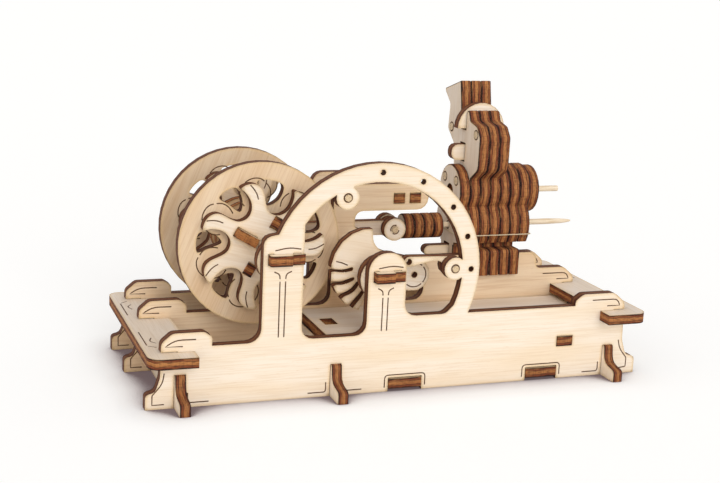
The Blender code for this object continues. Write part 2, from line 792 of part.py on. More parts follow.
def block_outline(index):
    """One cross section of the block, drawn about the cylinder axis in Y and from the table in Z."""
    disc = (0, crank_z + block_disc_rise)
    rise = upper_z - disc[1]
    radius = last_radius if index == block_sheets - 1 else upper_radius
    if index == block_sheets - 1:
        return circle((0, upper_z), radius)
    lower = 90 - crossing_angle(block_disc_radius, radius, rise)
    upper = 90 - crossing_angle(radius, block_disc_radius, rise)
    if index in base_sheets:
        foot = [(base_half, base_bottom, sheet / 2), (base_half, base_top, sheet / 3), (waist_half, base_top)]
    elif index in skirt_sheets:
        foot = [(skirt_half, skirt_bottom, sheet / 3), (skirt_half, waist_bottom)]
    else:
        foot = []
    if foot:
        foot.append((waist_half, waist_bottom))
    foot.append((waist_half, waist_top))
    start = block_waist_angle
    right = foot + arc(disc, block_disc_radius, start, lower) + arc((0, upper_z), radius, -upper, 30)[1:]
    left = [(-corner[0], *corner[1:]) for corner in right[::-1]]
    if index in base_sheets:
        left = left[:-1] + frame_slot()
    if index in neck_sheets:
        def neck(shares):
            return [(a * neck_half, upper_z + b * neck_height, r * neck_height) for a, b, r in shares]
        half = sheet / 2 + slot_gap
        gap = [(half, neck_slot_z), (-half, neck_slot_z)]
        top = neck(neck_shares) + neck(neck_gap_right_shares)[:1] + gap + neck(neck_gap_left_shares)
    else:
        top = arc((0, upper_z), radius, 30, 150)[1:-1]
    return rounded(right + top + left)


def frame_slot():
    """Slot in the foot of a block sheet that straddles the middle frame's saddle."""
    offset = middle_y - cylinder_y
    half = sheet / 2 + slot_gap
    top = saddle_height + saddle_gap
    return [(-base_half, base_bottom), (offset - half, base_bottom), (offset - half, top),
            (offset + half, top), (offset + half, base_bottom)]


def block_holes(index):
    """Bores, slide slot and pin holes of one block sheet."""
    axis = (0, crank_z)
    last = index == block_sheets - 1
    holes = []
    if not last:
        bored = 0 < index < bored_sheets
        holes.append(circle(axis, piston_radius + cylinder_gap if bored else piston_rod_radius + turn_gap))
    upper = (0, upper_z - upper_rod_drop)
    holes.append(circle(upper, piston_rod_radius + turn_gap if last else upper_bore_radius))
    if index < bored_sheets:
        half = sheet / 2 + seat_gap
        holes.append(box(-half, slide_bottom - seat_gap, half, slide_bottom + slide_height + seat_gap))
    for side in (-1, 1):
        holes.append(circle((side * block_pin_offset, block_pin_z), block_pin_radius + turn_gap))
        if index in neck_sheets:
            holes.append(circle((side * neck_pin_offset, neck_pin_z), block_pin_radius + turn_gap))
    if index in neck_sheets:
        half = sheet / 2 + slot_gap
        holes.append(box(-half, lobe_bottom - slot_gap, half, lobe_bottom + lobe_height + slot_gap))
    return holes


def cylinder_block():
    """Eight stacked sheets, their pins, the neck's inserts and the thread binding."""
    for i in range(block_sheets):
        x = block_left + i * block_pitch + block_sheet / 2
        plate(f"block_sheet_{i + 1}", "X", block_outline(i), (x, cylinder_y, 0), thickness=block_sheet,
              holes=block_holes(i))
    neck_left = block_left + neck_sheets[0] * block_pitch
    neck_right = block_left + neck_sheets[-1] * block_pitch + block_sheet
    for name, side in (("front", -1), ("rear", 1)):
        rod(name + "_block_pin", "X", block_pin_radius, block_left - seat_gap, block_right + seat_gap,
            (cylinder_y + side * block_pin_offset, block_pin_z))
        rod(name + "_neck_pin", "X", block_pin_radius, neck_left - seat_gap, neck_right + seat_gap,
            (cylinder_y + side * neck_pin_offset, neck_pin_z))
    middle = (neck_left + neck_right) / 2
    plate("neck_half_disc", "Y", arc((0, 0), half_disc_radius, 0, 180),
          (middle, cylinder_y, neck_slot_z + seat_gap), material=pale_wood)
    lobe = [(neck_left - lobe_reach, 0, lobe_round), (neck_right, 0), (neck_right, lobe_height),
            (neck_left - lobe_reach, lobe_height, lobe_round)]
    plate("neck_lobe", "Y", rounded(lobe), (0, cylinder_y, lobe_bottom), material=pale_wood)
    thread_binding()


def thread_binding():
    """Thin thread wound round the discs of the cylinder."""
    reach = band_radius + slot_gap
    left = block_left - reach
    right = block_right - block_pitch + reach
    half = sqrt(block_disc_radius ** 2 - (crank_z + block_disc_rise - band_z) ** 2) + reach
    curve = bpy.data.curves.new("block_thread", "CURVE")
    curve.dimensions = "3D"
    curve.bevel_depth = band_radius
    curve.bevel_resolution = 1
    spline = curve.splines.new("POLY")
    corners = rounded([(left, -half, reach), (right, -half, reach), (right, half, reach),
                       (left, half, reach)])
    spline.points.add(len(corners) - 1)
    for point, (x, y) in zip(spline.points, corners):
        point.co = (x, y, 0, 1)
    spline.use_cyclic_u = True
    obj = bpy.data.objects.new("block_thread", curve)
    finish(obj, (0, cylinder_y, band_z), None, thread_wood)


def rocker():
    """Shaft with the fan-shaped rocker plate."""
    axis = axis_empty("rocker_axis", (rocker_x, 0, rocker_z))
    rod("rocker_shaft", "Y", rocker_shaft_radius, front_y + sheet / 2 + seat_gap, middle_y + sheet / 2,
        (rocker_x, rocker_z), parent=axis)
    turn = radians(rocker_boss_angle)
    boss = (rocker_boss_reach * cos(turn), rocker_boss_reach * sin(turn))
    half = degrees(fan_slot_outer_width / 2 / fan_radius)
    fan = []
    angle = fan_start
    for slot in fan_slot_angles:
        fan += arc((0, 0), fan_radius, angle, slot - half) + fan_slot(slot)[1:-1]
        angle = slot + half
    fan += arc((0, 0), fan_radius, angle, fan_end)
    (low_x, low_z), (high_x, high_z) = fan_waist_shares
    corners = fan + [(fan_waist * low_x, fan_waist * low_z, fan_waist / 3)]
    corners += arc(boss, rocker_boss_radius, -100, 84)
    corners.append((fan_waist * high_x, fan_waist * high_z, fan_waist / 3))
    holes = [circle((0, 0), rocker_shaft_radius + slot_gap), circle(boss, rocker_boss_hole)]
    plate("rocker_plate", "Y", rounded(corners), (rocker_x, front_y + rocker_setback, rocker_z),
          holes=holes, parent=axis)


def fan_slot(angle):
    """Slot cut in from the rim and out again, wider towards the rim."""
    sides = ([], [])
    for reach, share in fan_slot_shares:
        radius = fan_radius * reach
        width = fan_slot_inner_width + (fan_slot_outer_width - fan_slot_inner_width) * share
        for side, turn in zip(sides, (-width / 2 / radius, width / 2 / radius)):
            side.append((radius * cos(radians(angle) + turn), radius * sin(radians(angle) + turn)))
    return sides[0][::-1] + sides[1]


def valve_gear():
    """Lever on its pin, slide in the lower slot, and the upper rod with its spool."""
    pivot = lug_place(lever_lug_angle)
    lever = axis_empty("valve_lever_axis", (pivot[0], 0, pivot[1]))
    eye = (lever_eye_x - pivot[0], lever_eye_z - pivot[1])
    outline = arc((0, 0), lever_hub_radius, -80, 85)
    outline += arc(eye, lever_eye_radius, 88, 262)
    outline.append((eye[0] / 2, eye[1] - lever_drop))
    plate("valve_lever", "Y", outline, (pivot[0], front_y + sheet + seat_gap, pivot[1]),
          holes=[circle((0, 0), pin_radius + turn_gap), circle(eye, lever_eye_hole)],
          parent=lever, material=pale_wood)
    left = block_left - slide_reach
    right = bored_right - seat_gap
    slide = [(left, 0, slide_height / 2), (right, 0), (right, slide_height),
             (left, slide_height, slide_height / 2)]
    plate("valve_slide", "Y", rounded(slide), (0, cylinder_y, slide_bottom), material=pale_wood)
    place = (cylinder_y, upper_z - upper_rod_drop)
    left = block_left + upper_rod_inset
    right = block_right + upper_rod_tail
    spool_left = block_left + spool_inset
    spool_right = spool_left + spool_length
    profile = [(left, 0), (left, piston_rod_radius), (spool_left, piston_rod_radius),
               (spool_left, spool_radius), (spool_right, spool_radius), (spool_right, piston_rod_radius),
               (right, piston_rod_radius), (right, 0)]
    turned("upper_valve_rod", profile, place)


weld = sheet / 1000000
clear_scene()
pieces = new_collection("plywood_engine_model")
cutters = new_collection("cutters")
birch_wood = make_wood("birch", birch)
pale_wood = make_wood("birch_pale", birch_pale)
tan_wood = make_wood("birch_tan", birch_tan)
dowel_wood = make_wood("dowel", dowel)
thread_wood = make_wood("thread", thread)

front_frame()
inner_frame("middle_frame", middle_y, True)
inner_frame("rear_frame", rear_y, False)
cap("left_cap", -1, left_cap_bottom)
cap("right_cap", 1, right_cap_bottom)
cross_plate("left_cross_plate", left_cross_x, left_cap_bottom - seat_gap)
cross_plate("middle_cross_plate", middle_cross_x, deck_top - sheet - seat_gap)
cross_plate("right_cross_plate", right_cross_x, right_cap_bottom - seat_gap)
ties()
bearing("crank", crank_x, crank_z, crank_shaft_radius)
bearing("rocker", rocker_x, rocker_z, rocker_shaft_radius)
pins_and_strips()
crankshaft()
connecting_rod()
crosshead()
cylinder_block()
rocker()
valve_gear()
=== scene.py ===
"""Looks of a laser-cut plywood engine model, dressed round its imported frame.

Metres, +Z up. X runs along the model and -Y is its front, as in the frame.
"""
from math import cos, pi, radians, sin

import bmesh
import bpy
from mathutils import Matrix, Vector


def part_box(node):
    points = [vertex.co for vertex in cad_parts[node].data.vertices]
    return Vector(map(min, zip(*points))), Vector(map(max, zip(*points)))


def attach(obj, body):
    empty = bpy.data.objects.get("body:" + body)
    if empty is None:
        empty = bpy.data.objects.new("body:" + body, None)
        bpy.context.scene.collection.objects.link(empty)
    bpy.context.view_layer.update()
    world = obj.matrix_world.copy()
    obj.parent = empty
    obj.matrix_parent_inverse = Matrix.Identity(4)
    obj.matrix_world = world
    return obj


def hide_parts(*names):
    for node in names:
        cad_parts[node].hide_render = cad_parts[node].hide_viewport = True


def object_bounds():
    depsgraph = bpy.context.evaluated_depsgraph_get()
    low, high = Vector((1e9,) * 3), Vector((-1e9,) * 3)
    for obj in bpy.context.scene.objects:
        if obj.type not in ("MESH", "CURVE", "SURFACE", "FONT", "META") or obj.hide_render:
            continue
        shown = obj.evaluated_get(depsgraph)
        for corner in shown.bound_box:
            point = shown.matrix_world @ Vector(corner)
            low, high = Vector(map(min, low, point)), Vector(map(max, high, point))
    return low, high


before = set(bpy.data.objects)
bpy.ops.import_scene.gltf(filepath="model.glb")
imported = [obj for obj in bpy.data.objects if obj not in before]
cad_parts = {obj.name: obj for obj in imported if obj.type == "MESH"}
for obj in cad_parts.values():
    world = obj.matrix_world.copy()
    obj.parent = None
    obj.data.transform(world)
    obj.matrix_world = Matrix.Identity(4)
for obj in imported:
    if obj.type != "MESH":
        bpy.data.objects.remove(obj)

cad_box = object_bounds()
scene = bpy.context.scene
scene.view_settings.view_transform = "Standard"

# Upright frames
# Three uprights of 3 mm birch plywood, cut by laser and left bare, so their faces are pale and
# their cut edges scorched. The front one has the arch, and all three stand on the table.
mm = 0.001

# Birch face veneer, rotary cut: cream with long soft streaks, short darker flecks and cloudy
# patches of warmer tone. Along the cuts the smoke of the laser leaves it yellower. Each wood has
# its pale tone, its warm one and its streaks.
birch_cream = ("#f3e5d3", "#efdbc0", "#dfc5a3")
birch_tan = ("#e8d0b1", "#dfc09b", "#cba67f")
smoke_tint = "#e8c68c"
rim_char = "#4a2a17"

# Cut edge, from one face to the other: two reddish outer plies and a golden core between dark
# glue lines, with the rims charred nearly black.
edge_plies = [(0.0, "#1c0b06"), (0.08, "#260f08"), (0.15, "#723619"), (0.26, "#8c4925"),
              (0.31, "#3c1b0d"), (0.37, "#aa6a38"), (0.63, "#b87b44"), (0.69, "#3c1b0d"),
              (0.74, "#8c4925"), (0.85, "#723619"), (0.92, "#260f08"), (1.0, "#1c0b06")]
char_black = "#220f08"
char_gold = "#c88b50"
char_brown = "#48231a"
smoke_reach = 1.1 * mm
face_relief = 0.06 * mm


def linear(code):
    """sRGB hex colour as linear red, green, blue and alpha."""
    parts = [int(code[i:i + 2], 16) / 255 for i in (1, 3, 5)]
    return (*[c / 12.92 if c <= 0.04045 else ((c + 0.055) / 1.055) ** 2.4 for c in parts], 1)


def add(tree, kind, inputs, **settings):
    """Shader node with its settings, and its inputs as values or as sockets to link."""
    made = tree.nodes.new(kind)
    for name, value in settings.items():
        setattr(made, name, value)
    for name, value in inputs.items():
        if isinstance(value, bpy.types.NodeSocket):
            tree.links.new(value, made.inputs[name])
        else:
            made.inputs[name].default_value = value
    return made


def plywood(node, facing, turn=0, tones=birch_cream, middle=None, thickness=None, lean=0, scorch=0.1):
    """Bare laser-cut birch plywood on a node or piece: grained faces and charred plies on the edges.

    The sheet faces one axis, leaning by so many degrees about Y, and its grain turns on that axis.
    The scorch is how much of the edge is one even brown, as where the laser went slowly.
    """
    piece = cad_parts.get(node) or bpy.data.objects[node]
    corners = [Vector(corner) for corner in piece.bound_box]
    low, high = corners[0], corners[6]
    axis = "XYZ".index(facing)
    centre = (low + high) / 2
    thickness = thickness or high[axis] - low[axis]
    middle = centre[axis] if middle is None else middle
    material = bpy.data.materials.new("laser_cut_birch_" + node)
    material.use_nodes = True
    tree = material.node_tree
    shader = tree.nodes["Principled BSDF"]
    place = add(tree, "ShaderNodeTexCoord", {})
    spot = add(tree, "ShaderNodeVectorRotate", {"Vector": place.outputs["Object"], "Center": centre,
                                                "Angle": radians(lean)},
               rotation_type="Y_AXIS").outputs[0]
    normal = add(tree, "ShaderNodeVectorRotate", {"Vector": place.outputs["Normal"],
                                                  "Angle": radians(lean)},
                 rotation_type="Y_AXIS").outputs[0]
    shift = centre + Vector((1, 1, 1)) * (sum(ord(letter) for letter in node) % 97) * mm
    rotation = [0, 0, 0]
    rotation[axis] = radians(turn)

    def noise(along, across, through, detail):
        """Noise stretched along the grain, in millimetres along, across and through the sheet."""
        sizes = [across * mm] * 3
        sizes[1 if facing == "X" else 0] = along * mm
        sizes[axis] = through * mm
        mapping = add(tree, "ShaderNodeMapping", {"Vector": spot, "Location": shift,
                                                  "Rotation": rotation, "Scale": sizes},
                      vector_type="TEXTURE")
        return add(tree, "ShaderNodeTexNoise", {"Vector": mapping.outputs["Vector"], "Scale": 1.0,
                                                "Detail": detail}).outputs["Fac"]

    def between(value, start, end, low=0.0, high=1.0):
        """A value's run from start to end, stretched to run from low to high and held there."""
        return add(tree, "ShaderNodeMapRange", {"Value": value, "From Min": start, "From Max": end,
                                                "To Min": low, "To Max": high}).outputs["Result"]

    def mix(factor, first, second):
        """Colour between two, each a hex code or a socket."""
        made = add(tree, "ShaderNodeMix", {0: factor}, data_type="RGBA")
        for socket, value in ((made.inputs[6], first), (made.inputs[7], second)):
            if isinstance(value, str):
                socket.default_value = linear(value)
            else:
                tree.links.new(value, socket)
        return made.outputs[2]

    pale, warm, streak = tones
    grain = noise(14, 0.45, 50, 3)
    clouds = noise(60, 7, 90, 2)
    flecks = noise(2.2, 0.22, 20, 1)
    face = mix(between(clouds, 0.38, 0.66), pale, warm)
    face = mix(between(grain, 0.45, 0.75, 0, 0.55), face, streak)
    face = mix(between(flecks, 0.66, 0.78, 0, 0.45), face, streak)
    depth_inside = add(tree, "ShaderNodeAmbientOcclusion", {"Distance": smoke_reach}, inside=True,
                       only_local=True, samples=4).outputs["AO"]
    face = mix(between(depth_inside, 0.5, 0.95, 0.7, 0), face, smoke_tint)
    face = mix(between(depth_inside, 0.5, 0.58, 0.35, 0), face, rim_char)

    level = add(tree, "ShaderNodeSeparateXYZ", {"Vector": spot}).outputs[axis]
    waver = between(noise(3, 3, 9, 2), 0.3, 0.7, -0.05 * thickness, 0.05 * thickness)
    level = add(tree, "ShaderNodeMath", {0: level, 1: waver}, operation="ADD").outputs[0]
    depth = between(level, middle - thickness / 2, middle + thickness / 2)
    plies = add(tree, "ShaderNodeValToRGB", {"Fac": depth})
    stops = plies.color_ramp.elements
    while len(stops) < len(edge_plies):
        stops.new(1.0)
    for stop, (position, code) in zip(stops, edge_plies):
        stop.position = position
        stop.color = linear(code)
    golden = noise(5, 5, 0.5, 2)
    burnt = noise(1.6, 1.6, 0.22, 3)
    stripes = noise(0.35, 0.35, 6, 2)
    edge = mix(between(golden, 0.50, 0.72, 0, 0.6), plies.outputs["Color"], char_gold)
    edge = mix(between(burnt, 0.50, 0.66, 0, 0.6), edge, char_black)
    edge = mix(between(stripes, 0.52, 0.74, 0, 0.4), edge, char_black)
    edge = mix(scorch, edge, char_brown)

    direction = [0, 0, 0]
    direction[axis] = 1
    facing_part = add(tree, "ShaderNodeVectorMath", {0: normal, 1: direction},
                      operation="DOT_PRODUCT").outputs["Value"]
    squareness = add(tree, "ShaderNodeMath", {0: facing_part}, operation="ABSOLUTE").outputs[0]
    on_face = between(squareness, 0.94, 0.98)
    tree.links.new(mix(on_face, edge, face), shader.inputs["Base Color"])
    tree.links.new(between(on_face, 0, 1, 0.78, 0.58), shader.inputs["Roughness"])
    relief = add(tree, "ShaderNodeMix", {"Factor": on_face, 2: stripes, 3: grain})
    bump = add(tree, "ShaderNodeBump", {"Height": relief.outputs[0], "Strength": 0.35,
                                        "Distance": face_relief})
    tree.links.new(bump.outputs["Normal"], shader.inputs["Normal"])
    shader.inputs["Specular IOR Level"].default_value = 0.3
    piece.data.materials.clear()
    piece.data.materials.append(material)


plywood("front_frame", "Y", 0, birch_cream, scorch=0.7)
# The middle and rear frames take the darker, warmer tan tones as painted shade: lit, their wood is cream like
# the front frame's.
plywood("middle_frame", "Y", 0, birch_tan, scorch=0.7)
plywood("rear_frame", "Y", 0, birch_tan, scorch=0.7)

# Scored lines
# Thin lines that the laser scores on the faces as ornament, about 0.35 mm wide and burnt brown.
# Each set is one piece: flattened strokes half sunk in the face that they mark.
line_width = 0.36 * mm
line_proud = 0.03 * mm


def mottled(name, size, first, second, roughness):
    """Matt material that wanders between two colours over so small a distance."""
    material = bpy.data.materials.new(name)
    material.use_nodes = True
    tree = material.node_tree
    shader = tree.nodes["Principled BSDF"]
    place = add(tree, "ShaderNodeTexCoord", {})
    cloud = add(tree, "ShaderNodeTexNoise", {"Vector": place.outputs["Object"], "Scale": 1 / size,
                                             "Detail": 2.0})
    colour = add(tree, "ShaderNodeMix", {"Factor": cloud.outputs["Fac"], 6: linear(first),
                                         7: linear(second)}, data_type="RGBA")
    tree.links.new(colour.outputs[2], shader.inputs["Base Color"])
    shader.inputs["Roughness"].default_value = roughness
    return material


# Burnt line: nearly black where the laser paused, brown where it ran on.
scored = mottled("laser_scored_birch", 0.8 * mm, "#2e190d", "#74502f", 0.85)
face_turns = {"Y": Matrix.Rotation(pi / 2, 4, "X"), "Z": Matrix.Identity(4),
              "X": Matrix.Rotation(pi / 2, 4, "Z") @ Matrix.Rotation(pi / 2, 4, "X")}


def rounded(stroke):
    """Corners joined by straight lines, each corner (a, b, radius) rounded off."""
    spots = [Vector(corner[:2]) for corner in stroke]
    places = [spots[0]]
    for index in range(1, len(stroke) - 1):
        radius = stroke[index][2] if len(stroke[index]) == 3 else 0
        corner = spots[index]
        if radius == 0:
            places.append(corner)
            continue
        back = (spots[index - 1] - corner).normalized() * radius
        on = (spots[index + 1] - corner).normalized() * radius
        for share in (0, 0.25, 0.5, 0.75, 1):
            places.append(corner + back * (1 - share) ** 2 + on * share ** 2)
    return places + [spots[-1]]


def ring(centre, radius, start=0, end=360):
    """Part of a circle, anticlockwise from one angle to the other."""
    count = max(4, round((end - start) / 30))
    turns = [radians(start + (end - start) * step / count) for step in range(count + 1)]
    return [(centre[0] + radius * cos(turn), centre[1] + radius * sin(turn)) for turn in turns]


def traced(curve, reach):
    """Mesh that a curve draws, with corners nearer together than the reach welded."""
    drawn = bpy.data.objects.new(curve.name, curve)
    scene.collection.objects.link(drawn)
    mesh = bpy.data.meshes.new_from_object(drawn.evaluated_get(bpy.context.evaluated_depsgraph_get()))
    bpy.data.objects.remove(drawn)
    bm = bmesh.new()
    bm.from_mesh(mesh)
    bpy.data.meshes.remove(mesh)
    if reach:
        bmesh.ops.remove_doubles(bm, verts=bm.verts, dist=reach)
    return bm


def fitted(name, bm, body, node=None):
    """Piece made from a finished mesh, set on its body in the place of a plain node, if any."""
    mesh = bpy.data.meshes.new(name)
    bm.to_mesh(mesh)
    bm.free()
    piece = bpy.data.objects.new(name, mesh)
    scene.collection.objects.link(piece)
    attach(piece, body)
    if node:
        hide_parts(node)
    return piece


def score(name, body, facing, place, strokes):
    """Scored strokes on a flat face, each a smooth line through places (a, b).

    A stroke that has a corner (a, b, radius) is straight from corner to corner instead.
    """
    curve = bpy.data.curves.new(name, "CURVE")
    curve.dimensions = "3D"
    curve.bevel_depth = line_width / 2
    curve.bevel_resolution = 1
    curve.use_fill_caps = True
    curve.resolution_u = 4
    for stroke in strokes:
        cornered = len(stroke) == 2 or any(len(corner) == 3 for corner in stroke)
        places = rounded(stroke) if cornered else [Vector(corner) for corner in stroke]
        closed = (places[0] - places[-1]).length < 0.001
        if closed:
            places.pop()
        spline = curve.splines.new("BEZIER")
        spline.bezier_points.add(len(places) - 1)
        spline.use_cyclic_u = closed
        for point, spot in zip(spline.bezier_points, places):
            point.co = (spot.x * mm, spot.y * mm, 0)
            point.handle_left_type = "VECTOR" if cornered else "AUTO"
            point.handle_right_type = "VECTOR" if cornered else "AUTO"
    bm = traced(curve, line_width / 100)
    bmesh.ops.scale(bm, vec=(1, 1, 2 * line_proud / line_width), verts=bm.verts)
    bmesh.ops.transform(bm, matrix=Matrix.Translation(place) @ face_turns[facing], verts=bm.verts)
    bmesh.ops.recalc_face_normals(bm, faces=bm.faces)
    fitted(name, bm, body).data.materials.append(scored)


def mirrored(stroke, middle=0):
    """The same stroke on the other side of an upright line."""
    return [(2 * middle - corner[0], *corner[1:]) for corner in stroke]


def middle_of(node):
    """Middle of a node's box."""
    low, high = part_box(node)
    return (low + high) / 2


front_low, front_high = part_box("front_frame")
left_end = front_low.x / mm
right_end = front_high.x / mm
pin_ring = 1.2
crank = middle_of("crank_bearing_plate")
rocker = middle_of("rocker_bearing_plate")


def scroll_left(end):
    """Hooked line inside the scroll at the left end, and the line round the foot below it."""
    scroll = [(end + 13.8, 19.3), (end + 7.9, 19.4, 2.2), (end + 5.4, 17.6, 0), (end + 10.2, 17.5)]
    foot = [(end + 5.2, 10.2), (end + 4.7, 7.2, 1.5), (end + 1.9, 4.0, 0.2), (end + 1.9, 1.3, 0),
            (end + 5.2, 1.3)]
    return [scroll, foot]


def scroll_right(end):
    """The same two lines at the right end, where the rail is higher."""
    scroll = [(end - 16.4, 23.9), (end - 7.6, 23.9, 1.6), (end - 6.9, 21.9, 0), (end - 11.2, 21.9)]
    foot = [(end - 6.2, 10.8), (end - 5.5, 8.0, 1.5), (end - 2.9, 4.9, 0.4), (end - 2.9, 2.0, 0.3),
            (end - 5.4, 1.7)]
    return [scroll, foot]


def notch_line(middle):
    """Line round a notch in the table edge, a millimetre outside it."""
    return [(middle - 6.3, 1.2), (middle - 6.3, 4.9, 1.2), (middle + 6.3, 4.9, 1.2),
            (middle + 6.3, 1.2)]


def toe_line(slot, side):
    """Short line beside a cross plate, turned up along it."""
    inner = 2.2 if side > 0 else 2.8
    return [(slot + side * 8.1, 1.3), (slot + side * inner, 1.3, 0.8), (slot + side * inner, 4.2)]


def post_lines(axis, half, top, curl):
    """Two upright lines on a post with a curl over each."""
    line = [(axis - half, 18.4), (axis - half, top)]
    hook = [(axis - half, top + 0.7), (axis - half - 0.3, top + 2.0), (axis - half - curl, top + 2.8)]
    return [line, mirrored(line, axis), hook, mirrored(hook, axis)]


left_cross = middle_of("left_cross_plate").x / mm
middle_cross = middle_of("middle_cross_plate").x / mm
right_cross = middle_of("right_cross_plate").x / mm
left_tie = middle_of("left_floor_tie").x / mm
right_tie = middle_of("right_floor_tie").x / mm
crank_x = crank.x / mm
rocker_x = rocker.x / mm
front_strokes = scroll_left(left_end) + scroll_right(right_end)
front_strokes += [notch_line(left_tie), notch_line(right_tie), toe_line(left_cross, 1)]
front_strokes += [toe_line(middle_cross, -1), toe_line(middle_cross, 1), toe_line(right_cross, -1)]
front_strokes += post_lines(crank_x, 0.8, 34.4, 1.7) + post_lines(rocker_x, 0.8, 28.2, 1.6)
front_strokes += [[(crank_x - 2.4, 43.2), (crank_x + 1.8, 43.8), (crank_x + 5.0, 43.4)]]
front_strokes += [[(rocker_x - 2.4, 36.8), (rocker_x + 1.8, 37.3), (rocker_x + 5.0, 36.9)]]
for node in ("upper_arch_pin", "lever_pivot_pin"):
    pin = middle_of(node) / mm
    front_strokes.append(ring((pin.x, pin.z), pin_ring))
score("front_frame_lines", "frame", "Y", (0, front_low.y, 0), front_strokes)
for name in ("middle_frame", "rear_frame"):
    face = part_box(name)[0].y
    score(name + "_lines", "frame", "Y", (0, face, 0), scroll_left(left_end) + scroll_right(right_end))

# Cross plates, ties, caps and deck
# The sheets that hold the uprights apart: plates with curved toes half-lapped through them, two
# strips in notches under them, one through them, a cap on each end and a deck on the strip.
birch_grey = ("#e8dacb", "#dfccb6", "#ccb499")
for node in ("left_cross_plate", "middle_cross_plate", "right_cross_plate"):
    plywood(node, "X", 90, birch_cream, scorch=0.25)
for node in ("left_cap", "right_cap"):
    plywood(node, "Z", 90, birch_grey)
plywood("front_deck", "Z", 0, birch_grey)
for node in ("left_floor_tie", "right_floor_tie", "deck_tie"):
    plywood(node, "Z", 90, birch_tan, scorch=0.25)


def cap_lines(outer, side):
    """Ornament near the outer edge of a cap: a dash, a hook and a tick between each two uprights."""
    strokes = []
    for end in (-1, 1):
        strokes.append([(outer - side * 1.8, end * 8.5), (outer - side * 1.8, end * 21.0)])
        strokes.append([(outer - side * 4.2, end * 14.5), (outer - side * 3.5, end * 17.6),
                        (outer - side * 4.7, end * 19.5)])
        strokes.append([(outer - side * 2.1, end * 21.7), (outer - side * 4.1, end * 23.2)])
    return strokes


left_cap_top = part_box("left_cap")[1].z
right_cap_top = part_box("right_cap")[1].z
score("left_cap_lines", "frame", "Z", (0, 0, left_cap_top), cap_lines(left_end, -1))
score("right_cap_lines", "frame", "Z", (0, 0, right_cap_top), cap_lines(right_end, 1))

# Bearing plates, keys, pins and arm strips
# Small plywood pieces pushed into the frames: round plates behind the front one, keys whose two
# prongs hold them, strips that join the rear arms, and two birch dowel pins in the arch's lugs.
for node in ("crank_bearing_plate", "rocker_bearing_plate"):
    plywood(node, "Y", 20, birch_cream, scorch=0.6)
for node in ("crank_bearing_key", "rocker_bearing_key"):
    plywood(node, "Z", 0, birch_cream)
for node in ("left_arm_strip", "right_arm_strip"):
    plywood(node, "Z", 90, birch_tan)

# Birch dowel, drawn through a plate: pale yellow, with straight pores along it and a browner,
# dotted end where it is cut across.
dowel_pale = "#efdfc6"
dowel_pore = "#d6ba92"
dowel_end = "#dcc5a0"
dowel_end_pore = "#a98455"
pore_width = 0.25 * mm
pore_length = 6 * mm
pore_depth = 0.04 * mm


def dowel(node, along):
    """Drawn birch dowel on a node or piece, with its pores along X or Y."""
    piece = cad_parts.get(node) or bpy.data.objects[node]
    corners = [Vector(corner) for corner in piece.bound_box]
    low, high = corners[0], corners[6]
    axis = "XYZ".index(along)
    material = bpy.data.materials.new("drawn_birch_dowel_" + node)
    material.use_nodes = True
    tree = material.node_tree
    shader = tree.nodes["Principled BSDF"]
    place = add(tree, "ShaderNodeTexCoord", {})
    sizes = [pore_width] * 3
    sizes[axis] = pore_length
    mapping = add(tree, "ShaderNodeMapping", {"Vector": place.outputs["Object"],
                                              "Location": (low + high) / 2, "Scale": sizes},
                  vector_type="TEXTURE")
    pores = add(tree, "ShaderNodeTexNoise", {"Vector": mapping.outputs["Vector"], "Scale": 1.0,
                                             "Detail": 2.0})
    spread = add(tree, "ShaderNodeMapRange", {"Value": pores.outputs["Fac"], "From Min": 0.42,
                                              "From Max": 0.72})
    side = add(tree, "ShaderNodeMix", {"Factor": spread.outputs["Result"], 6: linear(dowel_pale),
                                       7: linear(dowel_pore)}, data_type="RGBA")
    end = add(tree, "ShaderNodeMix", {"Factor": spread.outputs["Result"], 6: linear(dowel_end),
                                      7: linear(dowel_end_pore)}, data_type="RGBA")
    direction = [0, 0, 0]
    direction[axis] = 1
    facing = add(tree, "ShaderNodeVectorMath", {0: place.outputs["Normal"], 1: direction},
                 operation="DOT_PRODUCT")
    square = add(tree, "ShaderNodeMath", {0: facing.outputs["Value"], 1: 2.0}, operation="POWER")
    colour = add(tree, "ShaderNodeMix", {"Factor": square.outputs[0], 6: side.outputs[2],
                                         7: end.outputs[2]}, data_type="RGBA")
    bump = add(tree, "ShaderNodeBump", {"Height": pores.outputs["Fac"], "Strength": 0.3,
                                        "Distance": pore_depth})
    tree.links.new(colour.outputs[2], shader.inputs["Base Color"])
    tree.links.new(bump.outputs["Normal"], shader.inputs["Normal"])
    shader.inputs["Roughness"].default_value = 0.55
    piece.data.materials.clear()
    piece.data.materials.append(material)


for node in ("upper_arch_pin", "lever_pivot_pin"):
    dowel(node, "Y")

# Flywheels, spiders and crankshaft
# Two plywood wheels with seven windows, a hooked spider laid on the front of each, a hub key and
# two short tabs that lock them, and the dowel shaft with its two round webs. They turn together.
sheet = 3.0 * mm
wheel_turn = -68
spider_turn = 15

# The rear wheel and its spider are pushed on the shaft some degrees ahead of the front ones: the same
# sheets, turned. The rear wheel's tones are darker as painted shade, for the shade it stands in.
rear_lead = 14
rear_wheel_painted_shade = ("#d9c3a6", "#cfb290", "#bb9975")
weld = 0.002 * mm


def copied(node):
    """A node's own mesh with its doubled corners welded, ready to be changed."""
    bm = bmesh.new()
    bm.from_mesh(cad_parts[node].data)
    bmesh.ops.remove_doubles(bm, verts=bm.verts, dist=weld)
    return bm


